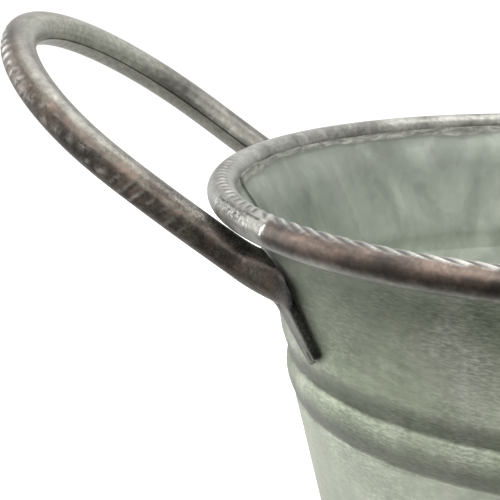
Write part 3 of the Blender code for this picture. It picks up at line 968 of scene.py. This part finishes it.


# %% Patina on the handles: browner on the outside of the loop and at its tip, grey on top from rubbing and as painted highlight
def patina_on_handles():
    silvers = ("#5f5f5a", "#76766f", "#92928b")
    material, tree, shader, place, noise, brown, silver = start_patina("bronze_patina_handles", silvers)
    tube_map = add(tree, "UVMap", uv_map="Along the tube")
    tube_mm = add(tree, "VectorMath", {0: tube_map, 1: (10.0, 10.0, 10.0)}, operation="MULTIPLY")
    lines = noises(tree, tube_mm, TUBE_PATTERNS)
    run = add(tree, "SeparateXYZ", {0: tube_mm}, out=0)
    girth = add(tree, "SeparateXYZ", {0: tube_mm}, out=1)
    # Grey on the top of the loop, rubbed and also painted as highlight, and paler on its underside as
    # painted light from the table below, most near the wall
    ragged = add(tree, "Math", {0: lines["streaks"], 1: 5.0, 2: girth}, operation="MULTIPLY_ADD")
    top = add(tree, "MapRange", {0: ragged, 1: 5.6, 2: 8.2}, **SMOOTH)
    below = {0: ragged, 1: -2.0, 2: -6.0, 3: 0.0, 4: 0.8}
    underside_bounce_light = add(tree, "MapRange", below, **SMOOTH)
    tip = add(tree, "MapRange", {0: run, 1: 60.0, 2: 95.0, 3: 0.85, 4: 0.5}, **SMOOTH)
    far = add(tree, "MapRange", {0: run, 1: 130.0, 2: 165.0, 3: 0.0, 4: 0.2}, **SMOOTH)
    much = add(tree, "Math", {0: tip, 1: far}, operation="ADD")
    wear_and_painted_light = add(tree, "Math", {0: top, 1: underside_bounce_light}, operation="MAXIMUM")
    wear_and_painted_light = add(tree, "Math", {0: wear_and_painted_light, 1: much}, operation="MULTIPLY")
    # Grey all over at the tabs' lower ends
    up = add(tree, "SeparateXYZ", {0: place}, out=2)
    on_tab = {0: up, 1: RIM_HEIGHT - 0.0215, 2: RIM_HEIGHT - 0.0235}
    tab = add(tree, "MapRange", on_tab, **SMOOTH)
    # Painted reflection: paler olive on the inside of the loop past the tip, as if mirroring the bright
    # table
    past_tip = add(tree, "MapRange", {0: run, 1: 85.0, 2: 110.0, 3: 0.0, 4: 0.7}, **SMOOTH)
    before_far = add(tree, "MapRange", {0: run, 1: 185.0, 2: 165.0}, **SMOOTH)
    deep = add(tree, "MapRange", {0: ragged, 1: 9.0, 2: 12.0}, **SMOOTH)
    deep = add(tree, "Math", {0: deep, 1: before_far}, operation="MULTIPLY")
    deep = add(tree, "Math", {0: deep, 1: underside_bounce_light}, operation="MAXIMUM")
    inside_reflection = add(tree, "Math", {0: past_tip, 1: deep}, operation="MULTIPLY")
    # Bright edges beside the dents
    rim_mark = add(tree, "Attribute", attribute_name="Dent rims", out=2)
    chipped = add(tree, "MapRange", {0: noise["specks"], 1: 0.36, 2: 0.52})
    bright = add(tree, "Math", {0: rim_mark, 1: chipped}, operation="MULTIPLY")
    # Green-grey blooms in the brown, and a grainy edge to the rubbed top near the wall
    bloom = add(tree, "MapRange", {0: noise["rubbing"], 1: 0.46, 2: 0.62, 3: 0.0, 4: 0.55})
    brown = add(tree, "Mix", {0: bloom, 6: brown, 7: colour("#57564b")}, **BLEND)
    legs = add(tree, "MapRange", {0: run, 1: 62.0, 2: 25.0})
    gaps = add(tree, "MapRange", {0: noise["grain"], 1: 0.56, 2: 0.44, 3: 0.0, 4: 0.85})
    gaps = add(tree, "Math", {0: gaps, 1: legs}, operation="MULTIPLY")
    whole = add(tree, "Math", {0: 1.0, 1: gaps}, operation="SUBTRACT")
    wear_and_painted_light = add(tree, "Math", {0: wear_and_painted_light, 1: whole}, operation="MULTIPLY")
    wear_and_painted_light = add(tree, "Math", {0: wear_and_painted_light, 1: tab}, operation="MAXIMUM")
    base = add(tree, "Mix", {0: wear_and_painted_light, 6: brown, 7: silver}, **BLEND)
    # The painted reflection inside the loop
    base = add(tree, "Mix", {0: inside_reflection, 6: base, 7: colour("#a3a498")}, **BLEND)
    base = add(tree, "Mix", {0: bright, 6: base, 7: colour("#b9b7b0")}, **BLEND)
    dent_mark = add(tree, "Attribute", attribute_name="Dents", out=2)
    dirt = add(tree, "Math", {0: dent_mark, 1: 0.5}, operation="MULTIPLY")
    base = add(tree, "Mix", {0: dirt, 6: base, 7: colour("#3a3531")}, **BLEND)
    # Painted shade: the tabs' front sides near black
    side_shade = add(tree, "Attribute", attribute_name="Tab side shade", out=2)
    side_shade = add(tree, "Math", {0: side_shade, 1: 0.9}, operation="MULTIPLY")
    base = add(tree, "Mix", {0: side_shade, 6: base, 7: colour("#12130f")}, **BLEND)
    # A fine salt-and-pepper wear over the legs near the wall
    pepper = add(tree, "MapRange", {0: noise["grain"], 1: 0.52, 2: 0.62, 3: 0.0, 4: 0.15})
    pepper = add(tree, "Math", {0: pepper, 1: legs}, operation="MULTIPLY")
    base = add(tree, "Mix", {0: pepper, 6: base, 7: colour("#908e86")}, **BLEND)
    finish_patina(tree, shader, base, noise, lines, wear_and_painted_light)
    return material


rim_patina = patina_on_rim()
handle_patina = patina_on_handles()

# %% Giving each piece its finish
for piece, finishes in (
    (wall, (zinc_outside, zinc_inside)),
    (lap, (zinc_inside,)),
    (pan, (zinc_bottom,)),
    (rim, (rim_patina,)),
    (handle, (handle_patina,)),
    (other, (handle_patina,)),
):
    for number, finish in enumerate(finishes):
        if number == len(piece.data.materials):
            piece.data.materials.append(None)
        piece.data.materials[number] = finish
print(len(bpy.data.materials), "materials")

# %% [markdown]
# Each piece is hung under one body, and the solid it stands for is hidden. The lap is part of the same
# sheet as the wall, and the wire lies hidden in the roll, so its own solid is kept.

# %% Hiding the solid each piece stands for
for piece, node, slot in (
    (wall, "wall", "galvanised_sheet"),
    (lap, None, "galvanised_sheet"),
    (pan, "base_pan", "pan_sheet"),
    (rim, "rim_band", "rim_patina"),
    (handle, "handle_left", "handle_patina"),
    (other, "handle_right", "handle_patina_right"),
):
    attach(piece, "root")
    if node:
        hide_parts(node)
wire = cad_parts["rim_wire"]
wire.data.materials.clear()
wire.data.materials.append(zinc_inside)

# %% [markdown]
# ## The studio
#
# A white table and white walls all round, large soft lights above, and dark cards on the viewer's side,
# which give the round metal its dark bands. Metal mirrors the walls' own shading instead of the table:
# dim below, bright above.

# %% Floor and surroundings
deselect()
bpy.ops.mesh.primitive_plane_add(size=6, location=(0, 0, 0))
floor = bpy.context.object
floor.name = "floor"
paper, tree, shader = start_material("white_paper", Roughness=0.9)
shader.inputs["Base Color"].default_value = colour("#f4f4f2")
floor.data.materials.append(paper)
floor.visible_glossy = False

black, tree, shader = start_material("dark_card", Roughness=1.0)
shader.inputs["Base Color"].default_value = colour("#2a2b29")
for name, place, size, tilt in (
    ("standing_card", (0.45, -0.66, 0.26), (1.5, 0.52), 90),
    ("lying_card", (0.40, -0.38, 0.002), (1.6, 0.56), 0),
):
    deselect()
    bpy.ops.mesh.primitive_plane_add(size=1, location=place, rotation=(math.radians(tilt), 0, 0))
    card = bpy.context.object
    card.name = name
    card.scale = (*size, 1)
    card.data.materials.append(black)
    card.visible_camera = False
    card.visible_shadow = False
    card.visible_diffuse = False

# %% White walls, brighter above and behind
world = bpy.data.worlds.new("white_room")
bpy.context.scene.world = world
world.use_nodes = True
tree = world.node_tree
direction = add(tree, "TexCoord")
upward = add(tree, "SeparateXYZ", {0: direction}, out=2)
behind = add(tree, "SeparateXYZ", {0: direction}, out=1)
height = add(tree, "MapRange", {0: upward, 1: -1.0, 2: 1.0})
wall_shades = ((0.0, 0.62), (0.34, 0.62), (0.5, 0.68), (0.75, 0.88), (1.0, 0.95))
shade = add(tree, "ValToRGB", {0: height}, wall_shades)
lift = add(tree, "Math", {0: behind, 1: 0.28, 2: shade}, operation="MULTIPLY_ADD")
mirrored = add(tree, "LightPath", out=3)
strength = add(tree, "Mix", {0: mirrored, 2: 1.2, 3: lift})  # even all round, except in reflections
tree.links.new(strength, tree.nodes["Background"].inputs[1])
tree.nodes["Background"].inputs[0].default_value = (1, 1, 1, 1)


# %% Lights
def soft_light(name, place, aim, size, watts):
    lamp = bpy.data.lights.new(name, "AREA")
    lamp.shape = "RECTANGLE"
    lamp.size, lamp.size_y = size
    lamp.energy = watts
    holder = bpy.data.objects.new(name, lamp)
    bpy.context.scene.collection.objects.link(holder)
    holder.location = place
    holder.rotation_euler = (Vector(aim) - Vector(place)).to_track_quat("-Z", "Y").to_euler()


soft_light("overhead", (-0.1, 0.1, 1.0), (0, 0, 0.15), (1.0, 1.0), 9)
soft_light("front_top", (-0.15, -0.68, 0.95), (0, 0, 0.15), (1.2, 0.6), 7)
soft_light("left_side", (-1.1, 0.1, 0.45), (0, 0, 0.12), (0.6, 0.8), 3.5)

# %% [markdown]
# The camera looks down by 15 degrees from near by, so the far side of the mouth shows smaller.

# %% Camera
camera = bpy.data.objects.new("camera", bpy.data.cameras.new("camera"))
bpy.context.scene.collection.objects.link(camera)
camera.location = (0, -0.370834, RIM_HEIGHT + 0.0791309)
camera.rotation_euler = (math.radians(90 - 15.0055), 0, math.radians(14.4223))
camera.data.lens = 98.5
camera.data.sensor_width = 36
camera.data.clip_start = 0.01
bpy.context.scene.camera = camera
bpy.context.scene.view_settings.view_transform = "Standard"
